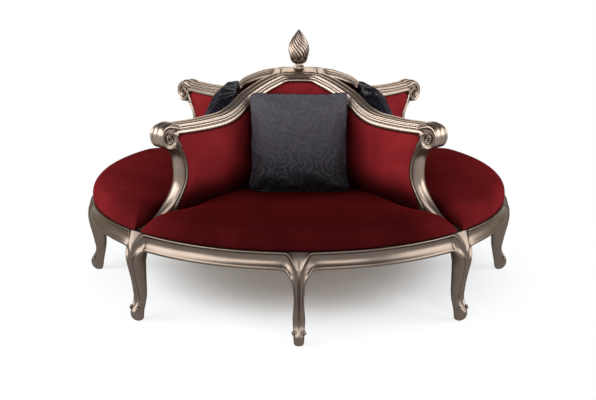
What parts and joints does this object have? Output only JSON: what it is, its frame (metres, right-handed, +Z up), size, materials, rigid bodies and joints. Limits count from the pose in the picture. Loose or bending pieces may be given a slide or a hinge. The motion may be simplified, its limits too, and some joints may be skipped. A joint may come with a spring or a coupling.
{
  "type": "round borne settee",
  "caption": "Round carved settee with a curved seat for each side, crossing backs that meet under a central finial, scrolled arms and loose cushions.",
  "frame": {"origin": "on the floor at the centre of the settee", "axes": "+Z up along the axis of the finial; the front seat faces -Y and the right seat faces +X"},
  "size_m": [2.072, 2.072, 1.1843],
  "materials": {
    "leafed_wood": "carved wood, metal leaf with dark rubbed recesses, satin",
    "frame_wood": "bare sawn frame timber",
    "red_fabric": "tone-on-tone woven upholstery cloth",
    "slate_fabric": "tone-on-tone satin weave cloth with a piped edge"
  },
  "bodies": {
    "settee": {"hub_block": "frame_wood", "hub_post": "frame_wood", "crown_block": "leafed_wood", "finial": "leafed_wood", "leg_front": "leafed_wood", "seat_rail_front_to_front_right": "leafed_wood", "leg_front_right": "leafed_wood", "seat_rail_front_right_to_right": "leafed_wood", "leg_right": "leafed_wood", "seat_rail_right_to_back_right": "leafed_wood", "leg_back_right": "leafed_wood", "seat_rail_back_right_to_back": "leafed_wood", "leg_back": "leafed_wood", "seat_rail_back_to_back_left": "leafed_wood", "leg_back_left": "leafed_wood", "seat_rail_back_left_to_left": "leafed_wood", "leg_left": "leafed_wood", "seat_rail_left_to_front_left": "leafed_wood", "leg_front_left": "leafed_wood", "seat_rail_front_left_to_front": "leafed_wood", "divider_beam_front_right": "frame_wood", "divider_panel_front_right": "frame_wood", "arm_post_front_right": "leafed_wood", "arm_scroll_front_right": "leafed_wood", "divider_beam_back_right": "frame_wood", "divider_panel_back_right": "frame_wood", "arm_post_back_right": "leafed_wood", "arm_scroll_back_right": "leafed_wood", "divider_beam_back_left": "frame_wood", "divider_panel_back_left": "frame_wood", "arm_post_back_left": "leafed_wood", "arm_scroll_back_left": "leafed_wood", "divider_beam_front_left": "frame_wood", "divider_panel_front_left": "frame_wood", "arm_post_front_left": "leafed_wood", "arm_scroll_front_left": "leafed_wood", "seat_bearer_front": "frame_wood", "seat_deck_front": "frame_wood", "seat_pad_front": "red_fabric", "back_pad_front": "red_fabric", "crest_rail_front": "leafed_wood", "seat_bearer_right": "frame_wood", "seat_deck_right": "frame_wood", "seat_pad_right": "red_fabric", "back_pad_right": "red_fabric", "crest_rail_right": "leafed_wood", "seat_bearer_back": "frame_wood", "seat_deck_back": "frame_wood", "seat_pad_back": "red_fabric", "back_pad_back": "red_fabric", "crest_rail_back": "leafed_wood", "seat_bearer_left": "frame_wood", "seat_deck_left": "frame_wood", "seat_pad_left": "red_fabric", "back_pad_left": "red_fabric", "crest_rail_left": "leafed_wood"},
    "cushion_front": {"scatter_cushion_front": "slate_fabric"},
    "cushion_right": {"scatter_cushion_right": "slate_fabric"},
    "cushion_back": {"scatter_cushion_back": "slate_fabric"},
    "cushion_left": {"scatter_cushion_left": "slate_fabric"}
  },
  "joints": [
    {"name": "lift_cushion_front", "type": "slide", "parent": "settee", "child": "cushion_front", "axis": [0, -0.5, 0.866], "range_m": [0, 0.6]},
    {"name": "lift_cushion_right", "type": "slide", "parent": "settee", "child": "cushion_right", "axis": [0.5, 0, 0.866], "range_m": [0, 0.6]},
    {"name": "lift_cushion_back", "type": "slide", "parent": "settee", "child": "cushion_back", "axis": [0, 0.5, 0.866], "range_m": [0, 0.6]},
    {"name": "lift_cushion_left", "type": "slide", "parent": "settee", "child": "cushion_left", "axis": [-0.5, 0, 0.866], "range_m": [0, 0.6]}
  ]
}
